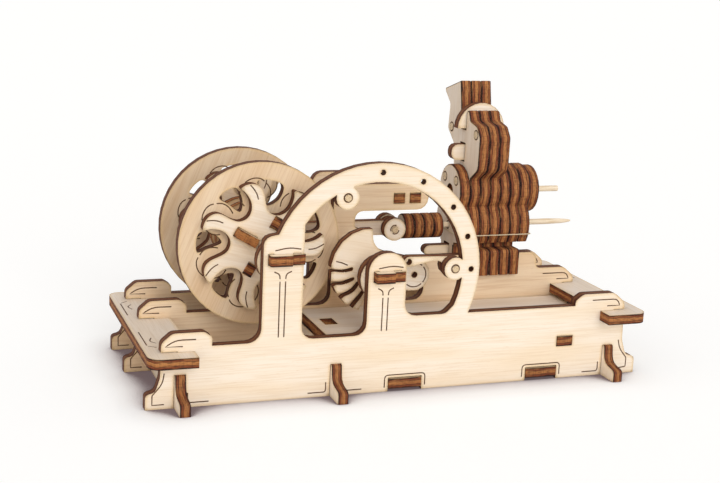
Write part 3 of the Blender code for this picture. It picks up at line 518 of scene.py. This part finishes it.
for node, name in (("rear_flywheel", "rear_windowed_wheel"), ("rear_spider", "rear_hooked_spider")):
    bm = copied(node)
    bmesh.ops.rotate(bm, cent=crank, matrix=Matrix.Rotation(-radians(rear_lead), 3, "Y"),
                     verts=bm.verts)
    fitted(name, bm, "crankshaft", node)
plywood("front_flywheel", "Y", wheel_turn, birch_tan, scorch=0.75)
plywood("rear_windowed_wheel", "Y", wheel_turn, rear_wheel_painted_shade, scorch=0.75)
rear_spider_low, rear_spider_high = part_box("rear_spider")
front_wheel_low, front_wheel_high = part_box("front_flywheel")
rear_wheel_low, rear_wheel_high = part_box("rear_flywheel")
spider_setback = (rear_wheel_low.y + rear_wheel_high.y - rear_spider_low.y - rear_spider_high.y) / 2
front_wheel_y = (front_wheel_low.y + front_wheel_high.y) / 2
plywood("front_spider", "Y", spider_turn, birch_cream, front_wheel_y - spider_setback, sheet,
        scorch=0.75)
plywood("rear_hooked_spider", "Y", spider_turn, birch_cream, scorch=0.75)

# The key is a strip laid across the hub. The two tabs stand out of the front spider, one on each
# side of the key, on the line square to it.
hub_angle = 150
plywood("hub_key", "X", 0, birch_tan, lean=hub_angle - 90)
tab_angles = (60, 240)
tab_reach = 7.75 * mm
tab_thickness = 3.0 * mm
tab_length = 3.8 * mm
tab_width = 2.8 * mm
tab_proud = 0.75 * mm
tab_buried = 1.0 * mm
tab_rounding = 0.12 * mm
spider_face = front_wheel_y - spider_setback - sheet / 2
for number, angle in enumerate(tab_angles, 1):
    bm = bmesh.new()
    bmesh.ops.create_cube(bm, size=1)
    bmesh.ops.scale(bm, vec=(tab_length, tab_proud + tab_buried, tab_width), verts=bm.verts)
    bmesh.ops.bevel(bm, geom=bm.edges[:], offset=tab_rounding, segments=2, profile=0.5,
                    affect="EDGES", material=-1)
    middle_y = spider_face + (tab_buried - tab_proud) / 2
    bmesh.ops.translate(bm, vec=(tab_reach, 0, 0), verts=bm.verts)
    bmesh.ops.rotate(bm, matrix=Matrix.Rotation(-radians(angle), 3, "Y"), verts=bm.verts)
    bmesh.ops.translate(bm, vec=(crank.x, middle_y, crank.z), verts=bm.verts)
    fitted(f"hub_tab_{number}", bm, "crankshaft")
    plywood(f"hub_tab_{number}", "X", 0, birch_tan, thickness=tab_thickness, lean=angle)
for node in ("front_crank_web", "rear_crank_web"):
    plywood(node, "Y", 10, birch_tan)
for node in ("front_crank_shaft", "rear_crank_shaft"):
    dowel(node, "Y")

bay_count = 7
bay_angle = 120.5
ring_share = 0.78
ring_radius = (front_wheel_high.x - front_wheel_low.x) / 2 * ring_share / mm
wheel_shares = [[(1.003, -0.298), (1.033, -0.40), (1.037, -0.505), (1.016, -0.591), (0.984, -0.642)],
                [(0.955, 0.320), (0.892, 0.248), (0.799, 0.202), (0.712, 0.204), (0.663, 0.223)],
                [(0.901, -0.163), (0.822, -0.114), (0.729, -0.102), (0.656, -0.136)]]
spider_shares = [[(0.985, -0.34), (0.91, -0.39), (0.825, -0.435), (0.74, -0.455)]]


def bay_strokes(shares, lead=0):
    """The same strokes in every bay of a wheel, from shares of the ring and of the pitch.

    The lead is how many degrees the wheel is ahead of the front one.
    """
    strokes = []
    for bay in range(bay_count):
        for stroke in shares:
            turned = []
            for reach, step in stroke:
                turn = radians(bay_angle + lead + 360 / bay_count * (bay + step))
                turned.append((ring_radius * reach * cos(turn), ring_radius * reach * sin(turn)))
            strokes.append(turned)
    return strokes


score("front_flywheel_lines", "crankshaft", "Y", (crank.x, front_wheel_low.y, crank.z),
      bay_strokes(wheel_shares))
score("rear_flywheel_lines", "crankshaft", "Y", (crank.x, rear_wheel_low.y, crank.z),
      bay_strokes(wheel_shares, rear_lead))
score("front_spider_lines", "crankshaft", "Y", (crank.x, spider_face, crank.z),
      bay_strokes(spider_shares))
score("rear_spider_lines", "crankshaft", "Y", (crank.x, rear_spider_low.y, crank.z),
      bay_strokes(spider_shares, rear_lead))

# Connecting rod, crosshead and piston
# A flat plywood rod from the crank to the wrist, then four stacked discs, the dowel rod and the
# piston on one line. The discs show mostly their charred edges.
plywood("connecting_rod", "Y", 0, birch_grey, scorch=0.5)
for node in ("front_wrist_disc", "rear_wrist_disc"):
    plywood(node, "Y", 30, birch_cream, scorch=0.5)

# In a stack each sheet grows into the gap beside it until a hair is left, as the real ones touch,
# and its rims are rounded as the charring leaves them.
rim_easing = 0.35 * mm
seam_gap = 0.02 * mm
seat_gap = 0.3 * mm


def eased(node, name, body):
    """Copy of a sheet that stands across X, pressed against the next, its charred rims rounded."""
    low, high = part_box(node)
    middle_x = (low.x + high.x) / 2
    press = 1 + (seat_gap - seam_gap) / (high.x - low.x)
    bm = copied(node)
    bmesh.ops.dissolve_limit(bm, angle_limit=radians(0.5), verts=bm.verts, edges=bm.edges,
                             delimit={"NORMAL"})
    rims = [edge for edge in bm.edges if len(edge.link_faces) == 2
            and sorted(abs(face.normal.x) > 0.9 for face in edge.link_faces) == [False, True]]
    bmesh.ops.bevel(bm, geom=rims, offset=rim_easing, segments=2, profile=0.5, affect="EDGES",
                    material=-1)
    bmesh.ops.scale(bm, vec=(press, 1, 1), space=Matrix.Translation((-middle_x, 0, 0)),
                    verts=bm.verts)
    fitted(name, bm, body, node)


for place in ("first", "second", "third", "fourth"):
    eased(place + "_crosshead_disc", place + "_crosshead_ring", "piston")
    plywood(place + "_crosshead_ring", "X", 40, birch_grey)
plywood("piston", "X", 40, birch_grey)
for node in ("crank_pin", "wrist_pin"):
    dowel(node, "Y")
wrist = middle_of("front_wrist_disc")
wrist_ring = 1.4
score("wrist_disc_lines", "piston", "Y", (wrist.x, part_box("front_wrist_disc")[0].y, wrist.z),
      [ring((0, 0), wrist_ring, 70, 200), ring((0, 0), wrist_ring, 240, 350)])

# The piston rod is a toothpick: round, its blunt end eased and its far end drawn to a point. Each
# station is a distance along it in millimetres, with the share of its radius there.
rod_low, rod_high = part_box("piston_rod")
rod_radius = (rod_high.z - rod_low.z) / 2
rod_length = (rod_high.x - rod_low.x) / mm
rod_sides = 20
rod_stations = [(0.0, 0.85), (0.4, 1.0), (rod_length - 9.0, 1.0), (rod_length - 4.0, 0.86),
                (rod_length - 1.5, 0.6), (rod_length - 0.4, 0.4), (rod_length, 0.2)]
bm = bmesh.new()
bmesh.ops.create_circle(bm, segments=rod_sides, radius=rod_radius * rod_stations[0][1], cap_ends=True)
rim = bm.edges[:]
for (behind, behind_share), (ahead, ahead_share) in zip(rod_stations, rod_stations[1:]):
    grown = bmesh.ops.extrude_edge_only(bm, edges=rim)["geom"]
    verts = [part for part in grown if isinstance(part, bmesh.types.BMVert)]
    rim = [part for part in grown
           if isinstance(part, bmesh.types.BMEdge) and all(vert in verts for vert in part.verts)]
    narrowing = ahead_share / behind_share
    bmesh.ops.translate(bm, vec=(0, 0, (ahead - behind) * mm), verts=verts)
    bmesh.ops.scale(bm, vec=(narrowing, narrowing, 1), verts=verts)
bmesh.ops.contextual_create(bm, geom=rim)
bmesh.ops.rotate(bm, matrix=Matrix.Rotation(pi / 2, 3, "Y"), verts=bm.verts)
rod_middle = (rod_low + rod_high) / 2
bmesh.ops.translate(bm, vec=(rod_low.x, rod_middle.y, rod_middle.z), verts=bm.verts)
bmesh.ops.recalc_face_normals(bm, faces=bm.faces)
fitted("pointed_piston_rod", bm, "piston", "piston_rod")
dowel("pointed_piston_rod", "X")

# Cylinder block
# Eight plywood sheets stacked like slices, with long dowels through them, a neck with a half disc
# and a lobe let into it, and thin cotton thread wound round to hold the stack.
for number in range(1, 9):
    eased(f"block_sheet_{number}", f"block_slice_{number}", "frame")
    plywood(f"block_slice_{number}", "X", 90, birch_grey)
for node in ("neck_half_disc", "neck_lobe"):
    plywood(node, "Y", 0, birch_cream, scorch=0.6)
for node in ("front_block_pin", "rear_block_pin", "front_neck_pin", "rear_neck_pin"):
    dowel(node, "X")
long_pin_ring = 1.35
for name, nodes in (("block_pin_rings", ("front_block_pin", "rear_block_pin")),
                    ("neck_pin_rings", ("front_neck_pin", "rear_neck_pin"))):
    strokes = []
    for node in nodes:
        pin = middle_of(node) / mm
        strokes.append(ring((pin.y, pin.z), long_pin_ring))
    pin_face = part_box(nodes[-1])[0].x + (seat_gap + seam_gap) / 2
    score(name, "frame", "X", (pin_face, 0, 0), strokes)

# Rocker, valve lever, slide and upper valve rod
# The fan-shaped plate on its dowel shaft, the small lever on its pin, the slide in the foot of the
# block and the turned rod in its upper bore, which work the valves.


def cut_plate(name, outline, holes, place, turn, body, node):
    """Plate cut from the sheet facing Y: cornered outline and round holes (x, z, radius) in mm."""
    curve = bpy.data.curves.new(name, "CURVE")
    curve.dimensions = "2D"
    curve.fill_mode = "BOTH"
    curve.extrude = sheet / 2
    loops = [rounded([outline[-1]] + outline + [outline[0]])[1:-1]]
    loops += [[Vector(spot) for spot in ring((x, z), radius)[:-1]] for x, z, radius in holes]
    for number, loop in enumerate(loops):
        spline = curve.splines.new("POLY" if number == 0 else "BEZIER")
        if number == 0:
            spline.points.add(len(loop) - 1)
            for point, spot in zip(spline.points, loop):
                point.co = (spot.x * mm, spot.y * mm, 0, 1)
        else:
            spline.resolution_u = 2
            spline.bezier_points.add(len(loop) - 1)
            for point, spot in zip(spline.bezier_points, loop):
                point.co = (spot.x * mm, spot.y * mm, 0)
                point.handle_left_type = point.handle_right_type = "AUTO"
        spline.use_cyclic_u = True
    bm = traced(curve, weld / 2)
    bmesh.ops.transform(bm, matrix=Matrix.Translation(place) @ face_turns["Y"], verts=bm.verts)
    bmesh.ops.recalc_face_normals(bm, faces=bm.faces)
    fitted(name, bm, body, node)
    plywood(name, "Y", turn, birch_cream, scorch=0.6)


# The fan's outline in millimetres from its shaft, with four curved slots that leave blades between them. Each
# slot goes in along one side, round its end and out along the other.
fan_rim = [(-0.2, 12.4), (-3.2, 12.35), (-6.4, 11.2), (-9.4, 8.9), (-11.5, 5.6), (-12.45, 2.4),
           (-12.5, 1.4)]
fan_slots = [[(-11.6, 1.0), (-9.2, 0.7, 1), (-7.4, 0.95, 1), (-6.0, 1.35, 0.3), (-5.7, 0.75, 0.4),
              (-6.0, 0.25, 0.3), (-7.3, -0.1, 1), (-9.2, -0.2, 1), (-11.5, 0.2)],
             [(-11.7, -2.6), (-9.4, -2.65, 1), (-7.2, -2.2, 1), (-5.6, -1.7, 0.3), (-5.1, -2.2, 0.4),
              (-5.5, -2.7, 0.3), (-6.9, -3.35, 1), (-8.7, -3.9, 1), (-10.8, -3.8)],
             [(-9.7, -6.4), (-7.0, -5.6, 1), (-5.4, -4.3, 1), (-4.5, -3.1, 0.3), (-3.8, -3.2, 0.4),
              (-3.7, -3.8, 0.3), (-4.4, -5.2, 1), (-5.9, -6.6, 1), (-8.3, -7.5)],
             [(-6.6, -9.6), (-4.3, -7.6, 1), (-3.1, -6.1, 0.8), (-2.6, -5.4, 0.3), (-2.0, -5.6, 0.3),
              (-2.0, -6.2, 0.3), (-2.8, -7.9, 1), (-4.8, -10.3)]]
fan_tips = [[(-12.4, 0.1), (-12.45, -2.6)], [(-11.6, -4.3), (-10.5, -6.4)],
            [(-9.0, -8.2), (-7.5, -9.8)], [(-5.4, -11.1), (-3.6, -11.8)]]
fan_waist = [(-1.4, -7.4, 2), (4.0, -5.4, 2)]
boss_spot = (13.55, -1.9)
boss_radius = 4.9
boss_ring = 3.65
fan_outline = [(*spot, 0) for spot in fan_rim]
for slot, tips in zip(fan_slots, fan_tips):
    fan_outline += [spot if len(spot) == 3 else (*spot, 0) for spot in slot + tips]
fan_outline += fan_waist + [(*spot, 0) for spot in ring(boss_spot, boss_radius, -105, 84)]
fan_outline += [(4.0, 5.2, 2), (1.2, 6.8, 1.5), (0.0, 9.0, 1)]
shaft_hole = (0, 0, 1.5)
boss_hole = (*boss_spot, 0.95)
fan_place = (rocker.x, middle_of("rocker_plate").y, rocker.z)
cut_plate("rocker_fan", fan_outline, [shaft_hole, boss_hole], fan_place, 10, "rocker",
          "rocker_plate")
fan_line = [(-11.1, 3.2), (-9.3, 2.7), (-7.5, 1.9)]
boss_lines = [ring(boss_spot, boss_ring, start, start + 80) for start in (-130, -40, 50, 140)]
score("rocker_fan_lines", "rocker", "Y", (rocker.x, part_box("rocker_plate")[0].y, rocker.z),
      [fan_line] + boss_lines)

# The valve lever is a thin wedge between a hub on the pin and a small eye at its far end.
pivot_low, pivot_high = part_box("lever_pivot_pin")
pivot = (pivot_low + pivot_high) / 2
pivot_clearance = 0.1
lever_eye = (-13.2, 1.75)
lever_eye_radius = 1.55
lever_hub_radius = 3.0
lever_outline = [(*spot, 0) for spot in ring((0, 0), lever_hub_radius, -180, 85)]
lever_outline += [(*spot, 0) for spot in ring(lever_eye, lever_eye_radius, 90, 270)]
lever_outline += [(-9.2, 1.1, 2), (-4.6, 2.1, 1.5), (-2.9, 1.2, 0.5)]
pin_hole = (0, 0, (pivot_high.z - pivot_low.z) / 2 / mm + pivot_clearance)
eye_hole = (*lever_eye, 0.9)
lever_place = (pivot.x, middle_of("valve_lever").y, pivot.z)
cut_plate("thin_valve_lever", lever_outline, [pin_hole, eye_hole], lever_place, 5, "valve_lever",
          "valve_lever")
plywood("valve_slide", "Y", 0, birch_cream, scorch=0.6)
dowel("rocker_shaft", "Y")
dowel("upper_valve_rod", "X")

# Thread
# Undyed cotton, two strands twisted together, put once round the stack of block sheets and pulled
# tight, so that it runs straight along each side and bends sharply at the corners.
strand_radius = 0.1 * mm
twist_pitch = 1.1 * mm
corner_round = 0.5 * mm

# Cotton: cream, with darker specks between its fibres and no shine. Real fibres are a fiftieth of
# a millimetre thick, so the specks are drawn six times coarser, to show.
cotton = mottled("twisted_cotton", 0.12 * mm, "#efe2c6", "#b9a27c", 0.9)
thread_low, thread_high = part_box("block_thread")
inset = (thread_high.z - thread_low.z) / 2
half_x = (thread_high.x - thread_low.x) / 2 - inset
half_y = (thread_high.y - thread_low.y) / 2 - inset
thread_centre = (thread_low + thread_high) / 2


def loop_place(distance):
    """Place and outward direction at a distance round the thread's rounded rectangle."""
    straight_x = 2 * (half_x - corner_round)
    straight_y = 2 * (half_y - corner_round)
    bend = corner_round * pi / 2
    sides = [(straight_x, (-1, -1), (1, 0)), (straight_y, (1, -1), (0, 1)),
             (straight_x, (1, 1), (-1, 0)), (straight_y, (-1, 1), (0, -1))]
    for length, (side_x, side_y), (run_x, run_y) in sides:
        middle = Vector((side_x * (half_x - corner_round), side_y * (half_y - corner_round)))
        along = Vector((run_x, run_y))
        out = Vector((run_y, -run_x))
        if distance <= length:
            return middle + out * corner_round + along * distance, out
        distance -= length
        if distance <= bend:
            turn = distance / corner_round
            centre = middle + along * length
            way = out * cos(turn) + along * sin(turn)
            return centre + way * corner_round, way
        distance -= bend
    return middle + along * length + along * corner_round, along


loop_length = 4 * (half_x + half_y - 2 * corner_round) + 2 * pi * corner_round
turn_count = round(loop_length / twist_pitch)
steps_per_turn = 8
curve = bpy.data.curves.new("cotton_thread", "CURVE")
curve.dimensions = "3D"
curve.bevel_depth = strand_radius
curve.bevel_resolution = 1
for phase in (0, pi):
    spline = curve.splines.new("POLY")
    count = turn_count * steps_per_turn
    spline.points.add(count - 1)
    for index, point in enumerate(spline.points):
        middle, out = loop_place(loop_length * index / count)
        turn = phase + 2 * pi * index / steps_per_turn
        spot = middle + out * strand_radius * cos(turn)
        point.co = (thread_centre.x + spot.x, thread_centre.y + spot.y,
                    thread_centre.z + strand_radius * sin(turn), 1)
    spline.use_cyclic_u = True
thread = fitted("cotton_thread", traced(curve, 0), "frame", "block_thread")
thread.data.materials.append(cotton)
thread.data.shade_smooth()

# Studio
# A white table that runs on past the view, a broad soft lamp in front and above, a weak one
# from the left, and a white surround.
floor_reach = 3.0
floor_drop = 0.02 * mm
floor_mesh = bpy.data.meshes.new("table_top")
bm = bmesh.new()
bmesh.ops.create_grid(bm, x_segments=1, y_segments=1, size=floor_reach)
bmesh.ops.translate(bm, vec=(0, 0, cad_box[0][2] - floor_drop), verts=bm.verts)
bm.to_mesh(floor_mesh)
bm.free()
floor = bpy.data.objects.new("table_top", floor_mesh)
scene.collection.objects.link(floor)
floor_paper = bpy.data.materials.new("white_paper")
floor_paper.use_nodes = True
paper_tree = floor_paper.node_tree
paper_shader = paper_tree.nodes["Principled BSDF"]
paper_white = "#f2f1ef"
paper_shader.inputs["Roughness"].default_value = 0.9
paper_shader.inputs["Specular IOR Level"].default_value = 0.0

# Matt paper with a painted contact shadow: its colour darkens to a soft violet grey where the model
# nearly touches it. The camera sees it a little lit from below, so that it runs out to white.
painted_shadow_reach = 16 * mm
painted_shadow_tones = ((0.46, "#796b6e"), (0.56, "#cfc8c9"), (0.75, "#f0eeee"), (1.0, "#ffffff"))
glow_share = 0.3
glow_strength = 1.5
nearness = add(paper_tree, "ShaderNodeAmbientOcclusion", {"Distance": painted_shadow_reach}, samples=16)
painted_shadow = add(paper_tree, "ShaderNodeValToRGB", {"Fac": nearness.outputs["AO"]})
shade_stops = painted_shadow.color_ramp.elements
while len(shade_stops) < len(painted_shadow_tones):
    shade_stops.new(1.0)
for stop, (position, code) in zip(shade_stops, painted_shadow_tones):
    stop.position = position
    stop.color = linear(code)
paper = add(paper_tree, "ShaderNodeMix", {0: 1.0, 6: painted_shadow.outputs["Color"],
                                          7: linear(paper_white)},
            data_type="RGBA", blend_type="MULTIPLY")
paper_tree.links.new(paper.outputs[2], paper_shader.inputs["Base Color"])
light_path = add(paper_tree, "ShaderNodeLightPath", {})
glow = add(paper_tree, "ShaderNodeEmission", {"Color": painted_shadow.outputs["Color"],
                                              "Strength": glow_strength})
seen = add(paper_tree, "ShaderNodeMath", {0: light_path.outputs["Is Camera Ray"], 1: glow_share},
           operation="MULTIPLY")
blend = add(paper_tree, "ShaderNodeMixShader", {0: seen.outputs[0], 1: paper_shader.outputs["BSDF"],
                                                2: glow.outputs["Emission"]})
paper_tree.links.new(blend.outputs["Shader"], paper_tree.nodes["Material Output"].inputs["Surface"])
floor_mesh.materials.append(floor_paper)

# Round the table a white surround: it lights the model softly, and is pure white where it is seen.
ambient_strength = 0.67
world = bpy.data.worlds.new("white_studio")
scene.world = world
world.use_nodes = True
world_tree = world.node_tree
background = world_tree.nodes["Background"]
background.inputs["Color"].default_value = (1.0, 0.99, 0.98, 1)
background.inputs["Strength"].default_value = ambient_strength
white = add(world_tree, "ShaderNodeBackground", {"Color": (1, 1, 1, 1), "Strength": 1.0})
ray = add(world_tree, "ShaderNodeLightPath", {})
looked = add(world_tree, "ShaderNodeMath", {0: ray.outputs["Is Camera Ray"],
                                            1: ray.outputs["Is Glossy Ray"]}, operation="MAXIMUM")
any_seen = add(world_tree, "ShaderNodeMath", {0: looked.outputs[0],
                                              1: ray.outputs["Is Transmission Ray"]},
               operation="MAXIMUM")
shown = add(world_tree, "ShaderNodeMixShader", {0: any_seen.outputs[0],
                                                1: background.outputs["Background"],
                                                2: white.outputs["Background"]})
world_tree.links.new(shown.outputs["Shader"], world_tree.nodes["World Output"].inputs["Surface"])


def soft_lamp(name, strength, spread, source):
    """Far lamp that shines from a direction, as broad in the sky as so many degrees."""
    light = bpy.data.lights.new(name, "SUN")
    light.energy = strength
    light.angle = radians(spread)
    lamp = bpy.data.objects.new(name, light)
    lamp.rotation_euler = Vector(source).to_track_quat("Z", "Y").to_euler()
    scene.collection.objects.link(lamp)


soft_lamp("key_lamp", 1.35, 38, (0.05, -0.90, 0.40))
soft_lamp("fill_lamp", 0.5, 60, (-0.9, -0.35, 0.35))

# Camera
# A long lens stands to the left of the front and a little above the model, looks down on it, and
# is tipped a little to one side.
camera_place = (-0.139503, -0.358530, 0.126711)
camera_yaw = -20.48
camera_pitch = -13.07
camera_roll = 2.69
camera_lens = 64.87
camera_film = 36
camera_data = bpy.data.cameras.new("camera")
camera_data.lens = camera_lens
camera_data.sensor_width = camera_film
camera_data.sensor_fit = "HORIZONTAL"
camera = bpy.data.objects.new("camera", camera_data)
scene.collection.objects.link(camera)
aim = Matrix.Rotation(radians(camera_yaw), 4, "Z") @ Matrix.Rotation(radians(90 + camera_pitch), 4, "X")
tilt = Matrix.Rotation(radians(camera_roll), 4, "Z")
camera.matrix_world = Matrix.Translation(camera_place) @ aim @ tilt
scene.camera = camera
